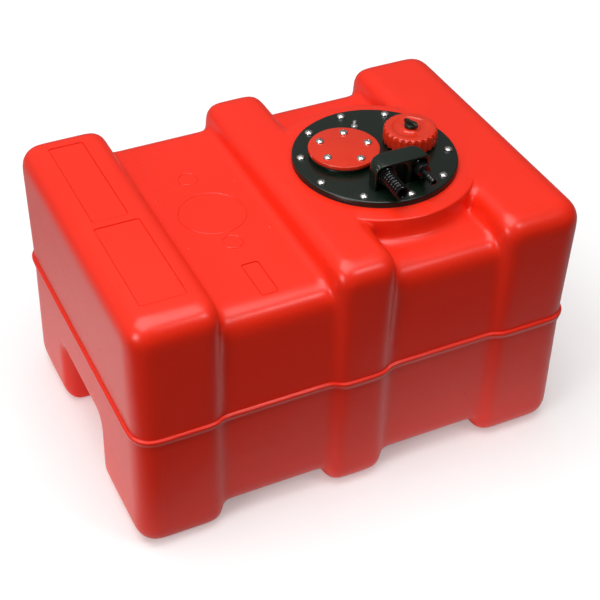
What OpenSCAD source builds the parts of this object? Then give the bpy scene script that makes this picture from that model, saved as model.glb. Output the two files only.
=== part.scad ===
/* [Tank] */
// Length of the tank, across its three ribs
tank_l = 500; // [480:1:640]
// Width of the tank, along each rib
tank_w = 350; // [340:1:460]
// Height of the tank
tank_h = 300; // [240:1:400]
// Thickness of the moulded wall
wall = 5; // [4:0.5:6]
// Radius of the long outer edges
edge_r = 24; // [20:1:30]
// Length of each end rib along the tank
end_rib_l = 96; // [80:1:110]
// Length of the middle rib along the tank
mid_rib_l = 68; // [60:1:80]
// Radius of the rib edges beside the bays
rib_r = 16; // [8:1:18]
// Depth of the strap bays in the top
bay_drop = 25; // [18:1:30]
// Depth of the strap bays in the long sides
bay_in = 8; // [6:1:12]
// Rise of the strap bays in the underside
bay_rise = 17; // [12:1:24]

/* [Parting seam] */
// Height of the middle of the seam bead
seam_z = 153; // [110:1:170]
// Height of the seam bead
seam_h = 8; // [4:1:10]
// How far the seam bead stands out
seam_out = 2; // [1:0.5:3]

/* [Lifting recesses] */
// Width of the recess under each end
grip_w = 121; // [90:1:140]
// Height of the recess
grip_h = 88; // [70:1:100]
// Depth of the recess into the tank
grip_l = 60; // [45:1:70]
// Offset of the recess from the middle of the end
grip_y = 9; // [-10:1:12]

/* [Access plate] */
// Place of the plate's centre along the tank
plate_x = 88; // [84:1:94]
// Place of the plate's centre across the tank
plate_y = -12; // [-20:1:10]
// Radius of the plate
plate_r = 88; // [86:1:90]
// Thickness of the plate
plate_t = 5; // [4:0.5:6]
// Thickness of the flange gasket
gasket_t = 2; // [1.5:0.5:3]
// Radius of the screw circle
bolt_r = 79; // [78:0.5:80]
// Number of flange screws
bolt_n = 10; // [8:1:12]
// Radius of the access opening
access_r = 66; // [65.5:0.5:67]
// Radius of the round pad that carries the plate
pad_r = 109; // [104:1:112]

/* [Screws] */
// Nominal radius of every screw
screw_r = 2.5; // [2:0.25:2.75]
// Radius of a screw head
head_r = 4.6; // [4:0.1:4.9]
// Height of a screw head
head_h = 2.8; // [2:0.1:3.4]

/* [Sender port] */
// Place of the sender port from the plate's centre, along the tank
sender_x = -31; // [-33:1:-29]
// Place of the sender port from the plate's centre, across the tank
sender_y = 12; // [10:1:14]
// Radius of the sender port's screw circle
sender_bolt_r = 27; // [26:0.5:28]
// Radius of the blanking cover
cover_r = 38; // [36:0.5:38.5]
// Thickness of the blanking cover
cover_t = 4.5; // [3:0.5:6]

/* [Filler] */
// Place of the filler from the plate's centre, along the tank
filler_x = 45; // [44:0.5:46]
// Place of the filler from the plate's centre, across the tank
filler_y = 6; // [4:1:8]
// Radius of the filler bore
filler_bore_r = 16.5; // [14:0.5:16.5]
// Height of the neck above the plate
neck_h = 13; // [12:0.5:16]
// Radius of the filler cap
cap_r = 29; // [28.5:0.5:30]
// Pitch of the cap thread
cap_pitch = 5; // [4.5:0.5:5]

/* [Outlets] */
// Height of the two hose axes above the plate
outlet_z = 15; // [14:0.5:17]
// Radius of the vent spigot
vent_r = 7.8; // [7:0.1:8]
// Radius of the fuel hose tail
fuel_r = 4.3; // [3.5:0.1:4.5]

/* [Hidden] */
$fn = 96;

// Overlap that lets two shapes of one piece fuse
eps = 0.5;
// Clearance of a screw in a plain hole
hole_gap = 0.25;
// Clearance of a screw in its insert
thread_gap = 0.05;
// Margin that carries a cut clear past a face
past = 1;

// Ribs: start and end of each along the tank
half_l = tank_l / 2;
half_w = tank_w / 2;
bay_a0 = -half_l + end_rib_l;
bay_a1 = -mid_rib_l / 2;
bay_b0 = mid_rib_l / 2;
bay_b1 = half_l - end_rib_l;

// Heights of the stack on the plate
gasket_z = tank_h;
plate_z = gasket_z + gasket_t;
deck_z = plate_z + plate_t;
seat_h = 3;
seat_z = deck_z + seat_h;
cover_z = seat_z + gasket_t;
cover_top = cover_z + cover_t;
neck_top = deck_z + neck_h;

// Sender port, filler and outlets in the tank's frame
port_x = plate_x + sender_x;
port_y = plate_y + sender_y;
fill_x = plate_x + filler_x;
fill_y = plate_y + filler_y;
port_r = 20;
port_wall = 3;
seat_r = 36;
lip_r = access_r - 0.6;
lip_wall = 3;
lip_h = 8;

// Small edges of the round parts: the pad's round and the plate's and cover's steps
pad_edge_r = 4;
plate_edge = 0.8;
cover_edge = 1;

// Inserts
insert_r = 3.5;
insert_h = 9;
insert_wall = 2.5;
boss_r = 7;
boss_h = 12;
// Free depth of an insert under its screw's tip
insert_spare = 2;

// Blanking cover's five screws: four gaps of 70 degrees and one of 80
sender_angles = [134, 64, -6, -76, -156];

// Cross recess of a screw head: width of its arms and depth
recess_w = 1;
recess_d = 1.6;

// Bare shallow panels in the left rib and the left bay, each from corner to corner
panel_d = 1;
rib_panel_a = [-half_l + 28, 2, -half_l + 66, half_w - 31];
rib_panel_b = [-half_l + 25, -half_w + 37, -half_l + 73, -9];
bay_panel = [bay_a0 + 52, -half_w + 33, bay_a0 + 70, -half_w + 84];

// Moulding marks on the floor of the left bay: a large ring, four dots and two small rings
mark_x = (bay_a0 + bay_a1) / 2;
mark_h = 0.6;
mark_ring_r = 36;
mark_dot_r = 1.5;
mark_dot_at = 45;
small_mark_r = 11;
small_mark_y = [67, -53];

// Filler neck and cap
neck_r = 22;
ridge_h = 1.6;
ridge_root_w = 2.2;
ridge_tip_w = 1.2;
thread_clear = 0.45;
cap_bore_r = neck_r + ridge_h + thread_clear;
cap_gap = 2;
seal_t = 1.5;
seal_z = neck_top;
cap_roof_z = seal_z + seal_t;
cap_roof_t = 4;
cap_z = deck_z + cap_gap;
cap_top = cap_roof_z + cap_roof_t;
neck_turns = 1.25;
neck_thread_z = neck_top - 2 - cap_pitch * neck_turns;
cap_teeth = 24;

cap_groove_r = 2.4;
cap_groove_d = 1.1;
cap_edge = 1.2;
seal_gap = 0.3;

// O-rings: radius of the section and the height that their flat seats leave
o_ring_r = 0.9;
o_ring_t = 1.6;
o_ring_gap = 0.1;

// Vent screw in the cap
vent_screw_r = 3.1;
vent_ridge_h = 0.8;
vent_clear = 0.3;
vent_hole_r = vent_screw_r + vent_ridge_h + vent_clear;
vent_pitch = 2.5;
vent_turns = 2;
hub_r = 8;
hub_z = cap_roof_z - 7;
vent_foot_z = hub_z - 4;
vent_thread_z = hub_z + 1.5;
knob_z = cap_top + o_ring_t;
knob_r = 7;
knob_t = 2.5;
wing_l = 19;
wing_w = 5;
wing_h = 6;
wing_turn = -75;
vent_bore_r = 1.2;
vent_port_r = 1;
vent_port_z = cap_top - 3;

// Outlet housing
house_left = 33;
house_right = 29.5;
house_front = -61;
house_back = -35;
house_h = 29;
house_wall = 2.5;
house_left_r = 18;
house_right_r = 13;
house_front_r = 2;
pocket_depth = 10;
web_x = 7;
web_t = 5;
vent_x = -19;
outlet_fuel_x = 19;
axis_z = deck_z + outlet_z;
pocket_y = house_front + pocket_depth;
riser_y = -43;
riser_r = 4.5;
thread_r = 6;
fuel_thread_r = 5;
fit_depth = 7;

// Hose ends: barbed length, number of barbs and depth of each barb
spigot_len = 42;
spigot_barb_len = 28;
spigot_barbs = 7;
spigot_bore_r = 5;
spigot_collar_r = 8.8;
spigot_ring_r = 11;
spigot_ring_taper = 1;
spigot_ring_t = 2.5;
spigot_ring_z = 5;
spigot_ring_step = 3.5;
spigot_rings = 3;
tail_len = 39;
tail_barb_len = 12;
tail_barbs = 3;
tail_bore_r = 2.2;
tail_collar_r = 7.2;
tail_collar_t = 7;
tail_hex_r = 8.5;
tail_hex_t = 8;
tail_hex_z = pocket_depth + 0.5;
barb_d = 0.8;
barb_land = 0.35;

// Pickup
tube_r = 4;
tube_bore_r = 2.8;
tube_top = deck_z + 7;
tube_foot = bay_rise + wall + 12;
stub_wall = 3;
stub_h = 10;
strainer_r = 8;
strainer_l = 42;
strainer_wall = 1.2;
strainer_base = 2;
strainer_z = tube_foot - 6;
strainer_top = strainer_z + strainer_l;
strainer_cap_t = 4;

// Bonding screw: the shank in the plate and nut is thicker than the free end
bond_x = plate_x + 3;
bond_y = plate_y + 53;
bond_shank_r = 2.25;
bond_r = 1.95;
bond_head_r = 4;
bond_head_h = 2.5;
bond_nut_h = 3.2;
bond_nut_r = 4.04;
bond_stud_h = 9;

// Helical ridge on a round wall of radius r; it stands out by h, or inwards when h is negative
module helix_ridge(r, h, pitch, turns, steps = 36) {
    n = ceil(turns * steps);
    root_sink = 0.4;
    fade_steps = 4;
    root = r - sign(h) * root_sink;
    function fade(i) = max(1, min(fade_steps, min(i, n - i))) / fade_steps;
    function tip(i) = r + h * fade(i);
    function at(i, rad, dz) = [
        rad * cos(360 * i / steps), rad * sin(360 * i / steps), pitch * i / steps + dz
    ];
    points = [for (i = [0:n]) each [
        at(i, root, -ridge_root_w * pitch / 10),
        at(i, tip(i), -ridge_tip_w * pitch / 10),
        at(i, tip(i), ridge_tip_w * pitch / 10),
        at(i, root, ridge_root_w * pitch / 10)
    ]];
    sides = [for (i = [0:n - 1]) for (j = [0:3]) let (a = 4 * i + j, b = 4 * i + (j + 1) % 4) each [
        [a, b, b + 4],
        [a, b + 4, a + 4]
    ]];
    ends = [[2, 1, 0], [3, 2, 0], [4 * n, 4 * n + 1, 4 * n + 2], [4 * n, 4 * n + 2, 4 * n + 3]];
    faces = concat(sides, ends);
    polyhedron(points, h > 0 ? faces : [for (f = faces) [f[2], f[1], f[0]]]);
}

// Rectangle with one radius on its left corners and one on its right corners
module soft_rect(x0, y0, x1, y1, r0, r1) {
    translate([x0 + r0, y0]) square([x1 - x0 - r0 - r1, y1 - y0]);
    translate([x0, y0 + r0]) square([r0, y1 - y0 - 2 * r0]);
    translate([x1 - r1, y0 + r1]) square([r1, y1 - y0 - 2 * r1]);
    for (y = [y0 + r0, y1 - r0]) translate([x0 + r0, y]) circle(r0);
    for (y = [y0 + r1, y1 - r1]) translate([x1 - r1, y]) circle(r1);
}

// Outline of the three ribs and the bays between them; d moves it inwards
module ribbed_outline(lo, hi, bay_lo, bay_hi, d) {
    r0 = edge_r - d;
    r1 = max(rib_r - d, 2);
    soft_rect(-half_l + d, lo + d, bay_a0 - d, hi - d, r0, r1);
    soft_rect(bay_a1 + d, lo + d, bay_b0 - d, hi - d, r1, r1);
    soft_rect(bay_b1 + d, lo + d, half_l - d, hi - d, r1, r0);
    translate([-half_l + 2 * edge_r, bay_lo + d]) {
        square([tank_l - 4 * edge_r, bay_hi - bay_lo - 2 * d]);
    }
}

// End view of the ribs or, with the bay depths, of the bays
module end_view(x0, x1, side, low, high, d) {
    translate([x0, 0, 0]) rotate([90, 0, 90]) linear_extrude(x1 - x0) {
        soft_rect(-half_w + side + d, low + d, half_w - side - d, tank_h - high - d, edge_r - d, edge_r - d);
    }
}

// Tank body, moved inwards by d
module body_form(d) {
    intersection() {
        translate([0, half_w, 0]) rotate([90, 0, 0]) linear_extrude(tank_w) {
            ribbed_outline(0, tank_h, bay_rise, tank_h - bay_drop, d);
        }
        linear_extrude(tank_h) ribbed_outline(-half_w, half_w, -half_w + bay_in, half_w - bay_in, d);
        union() {
            end_view(-half_l + d, bay_a0 - d, 0, 0, 0, d);
            end_view(bay_a1 + d, bay_b0 - d, 0, 0, 0, d);
            end_view(bay_b1 + d, half_l - d, 0, 0, 0, d);
            end_view(bay_a0 - 2 * rib_r, bay_b1 + 2 * rib_r, bay_in, bay_rise, bay_drop, d);
        }
    }
}

// Raised bead round the parting seam
module seam_bead() {
    translate([0, 0, seam_z - seam_h / 2]) linear_extrude(seam_h) {
        ribbed_outline(-half_w, half_w, -half_w + bay_in, half_w - bay_in, -seam_out);
    }
}

// Lifting recesses under both ends, grown by d
module grip_recesses(d) {
    top_r = edge_r / 2;
    half = grip_w / 2 + d;
    top = grip_h + d;
    for (s = [-1, 1]) translate([s * (half_l - grip_l / 2), grip_y, 0]) rotate([90, 0, 90]) {
        linear_extrude(grip_l + 2 * d, center = true) {
            translate([-half, -edge_r]) square([2 * half, top - top_r + edge_r]);
            translate([-half + top_r, -edge_r]) square([2 * (half - top_r), top + edge_r]);
            for (t = [-1, 1]) translate([t * (half - top_r), top - top_r]) circle(top_r);
        }
    }
}

// Screw places round the plate
module at_bolts() {
    for (i = [0:bolt_n - 1]) translate([plate_x, plate_y, 0]) {
        rotate([0, 0, 90 + i * 360 / bolt_n]) translate([bolt_r, 0, 0]) children();
    }
}

// Screw places round the sender port
module at_sender_bolts() {
    for (a = sender_angles) translate([port_x, port_y, 0]) {
        rotate([0, 0, a]) translate([sender_bolt_r, 0, 0]) children();
    }
}

module post(r, z0, z1) {
    translate([0, 0, z0]) cylinder(h = z1 - z0, r = r);
}

module washer(r, bore, z0, z1) {
    difference() {
        post(r, z0, z1);
        post(bore, z0 - past, z1 + past);
    }
}

// Cross-recessed pan-head screw with its head's underside at z
module pan_screw(z, length) {
    dome_r = (head_r * head_r + head_h * head_h) / (2 * head_h);
    difference() {
        union() {
            post(screw_r - thread_gap, z - length, z + eps);
            intersection() {
                post(head_r, z, z + head_h);
                translate([0, 0, z + head_h - dome_r]) sphere(dome_r);
            }
        }
        for (a = [0, 90]) rotate([0, 0, a]) translate([-head_r / 2, -recess_w / 2, z + head_h - recess_d]) {
            cube([head_r, recess_w, recess_d + past]);
        }
    }
}

// Cut for a shallow panel in the face at z
module panel(p, z) {
    translate([p[0], p[1], z - panel_d]) cube([p[2] - p[0], p[3] - p[1], panel_d + past]);
}

// Round pad that carries the plate, with a rounded top edge
module plate_pad() {
    pad_h = bay_drop + wall;
    translate([plate_x, plate_y, tank_h - pad_h]) rotate_extrude() {
        square([pad_r - pad_edge_r, pad_h]);
        square([pad_r, pad_h - pad_edge_r]);
        translate([pad_r - pad_edge_r, pad_h - pad_edge_r]) circle(pad_edge_r);
    }
}

// Raised moulding marks on the floor of the left bay
module mould_marks() {
    z = tank_h - bay_drop;
    translate([mark_x, 0, 0]) {
        washer(mark_ring_r, mark_ring_r - 1, z - eps, z + mark_h);
        for (x = [-mark_dot_at, mark_dot_at], y = [-mark_dot_at, mark_dot_at]) translate([x, y, 0]) {
            post(mark_dot_r, z - eps, z + mark_h);
        }
        for (y = small_mark_y) translate([0, y, 0]) {
            washer(small_mark_r, small_mark_r - 1, z - eps, z + mark_h);
        }
    }
}

module tank_shell() {
    color("orangered") difference() {
        union() {
            body_form(0);
            seam_bead();
            plate_pad();
            mould_marks();
        }
        grip_recesses(0);
        difference() {
            union() {
                body_form(wall);
                translate([plate_x, plate_y, 0]) post(pad_r - wall, tank_h - 2 * edge_r, tank_h - wall);
            }
            grip_recesses(wall);
            at_bolts() post(boss_r, tank_h - wall - boss_h, tank_h);
        }
        translate([plate_x, plate_y, 0]) post(access_r, tank_h - 2 * wall, tank_h + past);
        at_bolts() post(insert_r, tank_h - insert_h, tank_h + past);
        panel(rib_panel_a, tank_h);
        panel(rib_panel_b, tank_h);
        panel(bay_panel, tank_h - bay_drop);
    }
}

module flange_inserts() {
    color("goldenrod") at_bolts() washer(insert_r, screw_r, tank_h - insert_h, tank_h);
}

module flange_gasket() {
    color("dimgray") difference() {
        translate([plate_x, plate_y, 0]) washer(plate_r, access_r, gasket_z, plate_z);
        at_bolts() post(screw_r + hole_gap, gasket_z - past, plate_z + past);
    }
}

// One side of the outlet housing's outline, seen from above: towards +X when s is 1, or -X when s is -1
module house_side(s, width, back_r) {
    module strip(w, y0, y1) {
        translate([s > 0 ? -eps : -w, y0]) square([w + eps, y1 - y0]);
    }
    strip(width - back_r, house_front, house_back);
    strip(width, house_front + house_front_r, house_back - back_r);
    strip(width - house_front_r, house_front, house_front + house_front_r + eps);
    translate([s * (width - back_r), house_back - back_r]) intersection() {
        circle(back_r);
        translate([-back_r, 0]) square([2 * back_r, back_r]);
    }
    translate([s * (width - house_front_r), house_front + house_front_r]) circle(house_front_r);
}

// Open-fronted pocket of the outlet housing, from x0 to x1
module pocket(x0, x1) {
    translate([x0, house_front - past, deck_z]) {
        cube([x1 - x0, pocket_depth + past, house_h - house_wall]);
    }
}

// Outlet housing with its two pockets
module outlet_housing() {
    difference() {
        translate([0, 0, deck_z - eps]) linear_extrude(house_h + eps) {
            house_side(-1, house_left, house_left_r);
            house_side(1, house_right, house_right_r);
        }
        pocket(-house_left + house_wall, web_x - web_t / 2);
        pocket(web_x + web_t / 2, house_right - house_wall);
    }
}

// Bore for an outlet fitting along the axis at x, with a counterbore for its O-ring
module outlet_bore(x, r) {
    translate([x, pocket_y, axis_z]) rotate([-90, 0, 0]) {
        post(r, -past, riser_y - pocket_y);
        post(r + 2 * (o_ring_r + o_ring_gap), -past, o_ring_t);
    }
}

// Port wall and insert bosses under the plate, kept inside the locating lip
module port_underside() {
    intersection() {
        translate([plate_x, plate_y, 0]) post(lip_r, plate_z - lip_h, plate_z + eps);
        union() {
            translate([port_x, port_y, 0]) post(port_r + port_wall, plate_z - lip_h, plate_z + eps);
            at_sender_bolts() post(insert_r + insert_wall, plate_z - lip_h, plate_z + eps);
        }
    }
}

module flange_plate() {
    color([0.1, 0.1, 0.1]) difference() {
        union() {
            translate([plate_x, plate_y, 0]) {
                post(plate_r - plate_edge, plate_z, deck_z);
                post(plate_r, plate_z, deck_z - plate_edge);
                washer(lip_r, lip_r - lip_wall, plate_z - lip_h, plate_z + eps);
                outlet_housing();
                translate([outlet_fuel_x, riser_y, 0]) {
                    post(tube_r + stub_wall, plate_z - stub_h, plate_z + eps);
                }
            }
            port_underside();
            translate([port_x, port_y, 0]) post(seat_r, deck_z - eps, seat_z);
            translate([fill_x, fill_y, 0]) {
                post(neck_r, deck_z - eps, neck_top);
                translate([0, 0, neck_thread_z]) helix_ridge(neck_r, ridge_h, cap_pitch, neck_turns);
            }
        }
        translate([port_x, port_y, 0]) post(port_r, plate_z - lip_h - past, seat_z + past);
        translate([fill_x, fill_y, 0]) post(filler_bore_r, plate_z - past, neck_top + past);
        at_bolts() post(screw_r + hole_gap, plate_z - past, deck_z + past);
        at_sender_bolts() post(insert_r, seat_z - insert_h, seat_z + past);
        translate([bond_x, bond_y, 0]) post(bond_shank_r, plate_z - past, deck_z + past);
        translate([plate_x, plate_y, 0]) {
            translate([vent_x, riser_y, 0]) post(riser_r, plate_z - past, axis_z);
            translate([outlet_fuel_x, riser_y, 0]) {
                post(tube_r, plate_z - stub_h - past, tube_top);
                post(tube_bore_r, tube_top - past, axis_z);
            }
            outlet_bore(vent_x, thread_r);
            outlet_bore(outlet_fuel_x, fuel_thread_r);
        }
    }
}

module flange_screws() {
    color("silver") at_bolts() pan_screw(deck_z, deck_z - tank_h + insert_h - insert_spare);
}

module sender_inserts() {
    color("goldenrod") at_sender_bolts() washer(insert_r, screw_r, seat_z - insert_h, seat_z);
}

module sender_gasket() {
    color("black") difference() {
        translate([port_x, port_y, 0]) washer(seat_r, port_r, seat_z, cover_z);
        at_sender_bolts() post(screw_r + hole_gap, seat_z - past, cover_z + past);
    }
}

module sender_cover() {
    color("red") difference() {
        translate([port_x, port_y, 0]) {
            post(cover_r - cover_edge, cover_z, cover_top);
            post(cover_r, cover_z, cover_top - cover_edge);
            post(port_r - past, seat_z, cover_z + eps);
        }
        at_sender_bolts() post(screw_r + hole_gap, cover_z - past, cover_top + past);
    }
}

module sender_screws() {
    color("silver") at_sender_bolts() pan_screw(cover_top, cover_top - seat_z + insert_h - insert_spare);
}

module filler_cap() {
    color("red") translate([fill_x, fill_y, 0]) {
        difference() {
            union() {
                post(cap_r, cap_z, cap_top - cap_edge);
                post(cap_r - cap_edge, cap_z, cap_top);
            }
            post(cap_bore_r, cap_z - past, cap_roof_z);
            post(vent_hole_r, cap_z, cap_top + past);
            for (i = [0:cap_teeth - 1]) rotate([0, 0, (i + 0.5) * 360 / cap_teeth]) {
                translate([cap_r + cap_groove_r - cap_groove_d, 0, 0]) {
                    post(cap_groove_r, cap_z - past, cap_top - cap_edge);
                }
            }
        }
        washer(hub_r, vent_hole_r, hub_z, cap_roof_z + eps);
        translate([0, 0, neck_thread_z + cap_pitch / 4]) {
            rotate([0, 0, -90]) helix_ridge(cap_bore_r, -ridge_h, cap_pitch, 1);
        }
        translate([0, 0, vent_thread_z]) helix_ridge(vent_hole_r, -vent_ridge_h, vent_pitch, vent_turns, 24);
    }
}

module cap_seal() {
    color("dimgray") translate([fill_x, fill_y, 0]) {
        washer(cap_bore_r - seal_gap, filler_bore_r, seal_z, cap_roof_z);
    }
}

module vent_screw() {
    color([0.1, 0.1, 0.1]) translate([fill_x, fill_y, 0]) difference() {
        union() {
            post(vent_screw_r, vent_foot_z, knob_z + eps);
            translate([0, 0, vent_thread_z - vent_pitch / 2]) {
                helix_ridge(vent_screw_r, vent_ridge_h, vent_pitch, vent_turns + 0.5, 24);
            }
            post(knob_r, knob_z, knob_z + knob_t);
            rotate([0, 0, wing_turn]) translate([-wing_l / 2, -wing_w / 2, knob_z]) {
                cube([wing_l, wing_w, wing_h]);
            }
        }
        post(vent_bore_r, vent_foot_z - past, vent_port_z);
        translate([0, 0, vent_port_z]) rotate([0, 90, 0]) {
            cylinder(h = 4 * vent_screw_r, r = vent_port_r, center = true);
        }
    }
}

// O-ring squeezed between two flat seats, with its lower seat at z 0
module o_ring(r) {
    translate([0, 0, o_ring_t / 2]) rotate_extrude() translate([r, 0]) intersection() {
        circle(o_ring_r, $fn = 32);
        square([2 * o_ring_r, o_ring_t], center = true);
    }
}

module vent_o_ring() {
    color("dimgray") translate([fill_x, fill_y, cap_top]) o_ring(vent_hole_r + o_ring_r + o_ring_gap);
}

// Barbed end of a hose fitting
module barbs(r, bore, length, count) {
    step = length / count;
    for (i = [0:count - 1]) translate([0, 0, i * step]) rotate_extrude() {
        polygon([[bore, 0], [r, 0], [r, step * barb_land], [r - barb_d, step], [bore, step]]);
    }
}

// Outlet fitting's frame: origin on the back wall of its pocket, +Z out of the pocket
module at_outlet(x) {
    translate([plate_x + x, plate_y + pocket_y, axis_z]) rotate([90, 0, 0]) children();
}

module vent_spigot() {
    barb_z = spigot_len - spigot_barb_len;
    color([0.12, 0.12, 0.12]) at_outlet(vent_x) difference() {
        union() {
            post(thread_r, -fit_depth, eps);
            post(vent_r - barb_d, 0, barb_z + eps);
            post(spigot_collar_r, 0, spigot_ring_z + eps);
            for (i = [0:spigot_rings - 1]) {
                ring_z = spigot_ring_z + i * spigot_ring_step;
                post(spigot_ring_r - i * spigot_ring_taper, ring_z, ring_z + spigot_ring_t);
            }
            translate([0, 0, barb_z]) barbs(vent_r, spigot_bore_r - eps, spigot_barb_len, spigot_barbs);
        }
        post(spigot_bore_r, -fit_depth - past, spigot_len + past);
    }
}

module vent_spigot_o_ring() {
    color("dimgray") at_outlet(vent_x) translate([0, 0, -o_ring_t]) o_ring(thread_r + o_ring_r + o_ring_gap);
}

module fuel_tail() {
    barb_z = tail_len - tail_barb_len;
    color([0.12, 0.12, 0.12]) at_outlet(outlet_fuel_x) difference() {
        union() {
            post(fuel_thread_r, -fit_depth, tail_hex_z + eps);
            post(tail_collar_r, 0, tail_collar_t);
            translate([0, 0, tail_hex_z]) cylinder(h = tail_hex_t, r = tail_hex_r, $fn = 6);
            post(fuel_r - barb_d / 2, tail_hex_z + tail_hex_t - eps, barb_z + eps);
            translate([0, 0, barb_z]) barbs(fuel_r, tail_bore_r - eps, tail_barb_len, tail_barbs);
        }
        post(tail_bore_r, -fit_depth - past, tail_len + past);
    }
}

module fuel_tail_o_ring() {
    color("dimgray") at_outlet(outlet_fuel_x) {
        translate([0, 0, -o_ring_t]) o_ring(fuel_thread_r + o_ring_r + o_ring_gap);
    }
}

// Pickup tube's axis
module at_pickup() {
    translate([plate_x + outlet_fuel_x, plate_y + riser_y, 0]) children();
}

module pickup_tube() {
    color("whitesmoke") at_pickup() washer(tube_r, tube_bore_r, tube_foot, tube_top);
}

module pickup_strainer() {
    color("lightsteelblue") at_pickup() difference() {
        post(strainer_r, strainer_z, strainer_top);
        post(strainer_r - strainer_wall, strainer_z + strainer_base, strainer_top + past);
    }
}

module strainer_cap() {
    color("black") at_pickup() {
        washer(strainer_r + strainer_wall, tube_r, strainer_top, strainer_top + strainer_cap_t);
    }
}

module bonding_screw() {
    color("silver") translate([bond_x, bond_y, 0]) {
        post(bond_head_r, plate_z - bond_head_h, plate_z);
        post(bond_shank_r, plate_z - eps, deck_z + bond_nut_h);
        post(bond_r, plate_z, deck_z + bond_stud_h);
    }
}

module bonding_nut() {
    color("silver") translate([bond_x, bond_y, deck_z]) difference() {
        cylinder(h = bond_nut_h, r = bond_nut_r, $fn = 6);
        post(bond_shank_r, -past, bond_nut_h + past);
    }
}

tank_shell();
flange_inserts();
flange_gasket();
flange_plate();
flange_screws();
sender_inserts();
sender_gasket();
sender_cover();
sender_screws();
filler_cap();
cap_seal();
vent_screw();
vent_o_ring();
vent_spigot();
vent_spigot_o_ring();
fuel_tail();
fuel_tail_o_ring();
pickup_tube();
pickup_strainer();
strainer_cap();
bonding_screw();
bonding_nut();
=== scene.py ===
import math
import random

import bmesh
import bpy
from mathutils import Matrix, Vector


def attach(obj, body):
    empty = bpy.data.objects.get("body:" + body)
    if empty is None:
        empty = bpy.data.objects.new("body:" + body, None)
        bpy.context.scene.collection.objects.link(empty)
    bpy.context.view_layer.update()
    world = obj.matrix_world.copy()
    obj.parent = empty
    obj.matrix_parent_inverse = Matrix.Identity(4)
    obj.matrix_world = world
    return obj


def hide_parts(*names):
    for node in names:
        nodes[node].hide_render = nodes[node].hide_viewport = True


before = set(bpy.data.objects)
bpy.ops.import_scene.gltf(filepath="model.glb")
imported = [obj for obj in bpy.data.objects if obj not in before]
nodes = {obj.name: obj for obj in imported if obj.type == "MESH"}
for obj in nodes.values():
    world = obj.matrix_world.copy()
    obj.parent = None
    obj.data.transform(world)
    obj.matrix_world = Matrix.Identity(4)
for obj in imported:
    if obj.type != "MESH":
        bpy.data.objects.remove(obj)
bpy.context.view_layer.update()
scene = bpy.context.scene
scene.view_settings.view_transform = "Standard"


# Camera: stands before the left end of the long side and looks down on the tank at 40 degrees.
# Its place, direction and lens come from the tank's own outline as photographed.
camera_data = bpy.data.cameras.new("camera")
camera_data.sensor_width = 36
camera_data.lens = 84.07
camera_data.shift_x = 0.0426
camera_data.shift_y = 0.0092
camera_data.clip_end = 30
camera = bpy.data.objects.new("camera", camera_data)
scene.collection.objects.link(camera)
camera_right = Vector((0.906828, -0.421274, 0.013839))
camera_up = Vector((0.261488, 0.588019, 0.765413))
camera_back = Vector((-0.330586, -0.690479, 0.643390))
camera_turn = Matrix((camera_right, camera_up, camera_back)).transposed().to_4x4()
camera.matrix_world = Matrix.Translation((-0.53979, -1.08420, 1.13557)) @ camera_turn
scene.camera = camera


# Studio: a pale paper floor, one broad soft box overhead, a window at the left, a small lamp in front and
# a weak room that is brighter above, behind and at the left. The paper shows white to the eye and keeps the
# tank's shadow. To every other ray it shows painted shade: dark in front of the tank, where it lights nothing,
# and greyer further from the tank.
def to_linear(code):
    """Colour of an sRGB hex code as the linear values that a shader takes"""
    parts = [int(code[i:i + 2], 16) / 255 for i in (1, 3, 5)]
    return (*(p / 12.92 if p <= 0.04045 else ((p + 0.055) / 1.055) ** 2.4 for p in parts), 1)


def add_node(tree, kind, sockets=None, **settings):
    """Adds a shader node. Each entry of sockets is a value, or the output that feeds that input."""
    node = tree.nodes.new("ShaderNode" + kind)
    for name, value in settings.items():
        setattr(node, name, value)
    for name, value in (sockets or {}).items():
        if isinstance(value, bpy.types.NodeSocket):
            tree.links.new(value, node.inputs[name])
        else:
            node.inputs[name].default_value = value
    return node


def blend_colours(tree, factor, first, second):
    """Colour output between two sRGB hex codes"""
    colours = {0: factor, 6: to_linear(first), 7: to_linear(second)}
    return add_node(tree, "Mix", colours, data_type="RGBA").outputs[2]


def new_material(name):
    """Empty node material and its tree"""
    material = bpy.data.materials.new(name)
    material.use_nodes = True
    material.node_tree.nodes.clear()
    return material, material.node_tree


paper, tree = new_material("matt_studio_paper")
place = add_node(tree, "TexCoord").outputs["Object"]
fibre = add_node(tree, "TexNoise", {"Vector": place, "Scale": 40.0, "Detail": 4.0})
tone = blend_colours(tree, fibre.outputs["Fac"], "#E9E9E9", "#EFEFEF")
reach = add_node(tree, "VectorMath", {0: place}, operation="LENGTH")
glow = add_node(tree, "MapRange", {
    "Value": reach.outputs["Value"], "From Min": 0.4, "From Max": 1.2, "To Min": 0.26, "To Max": 0.7,
})
lamplit = add_node(tree, "Emission", {"Color": (1, 1, 1, 1), "Strength": glow.outputs[0]})
matt = add_node(tree, "BsdfDiffuse", {"Color": tone})
bright = add_node(tree, "AddShader", {0: matt.outputs[0], 1: lamplit.outputs[0]})
# Painted shade on the paper for rays that are not the camera's: dark in front of the tank, grey further out
forward = add_node(tree, "VectorMath", {0: place, 1: (-0.2, -0.98, 0)}, operation="DOT_PRODUCT")
front_painted_shade = add_node(tree, "MapRange", {"Value": forward.outputs["Value"], "From Min": 0.17, "From Max": 0.32})
far_painted_shade = add_node(tree, "MapRange", {"Value": reach.outputs["Value"], "From Min": 0.28, "From Max": 0.5})
pale = blend_colours(tree, far_painted_shade.outputs[0], "#FAFAFA", "#BCBCBC")
shade = add_node(tree, "Mix", {0: front_painted_shade.outputs[0], 6: pale, 7: to_linear("#3C3C3C")}, data_type="RGBA")
dull = add_node(tree, "BsdfDiffuse", {"Color": shade.outputs[2]})
seen = add_node(tree, "LightPath").outputs["Is Camera Ray"]
shown = add_node(tree, "MixShader", {0: seen, 1: dull.outputs[0], 2: bright.outputs[0]})
add_node(tree, "OutputMaterial", {"Surface": shown.outputs[0]})

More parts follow.
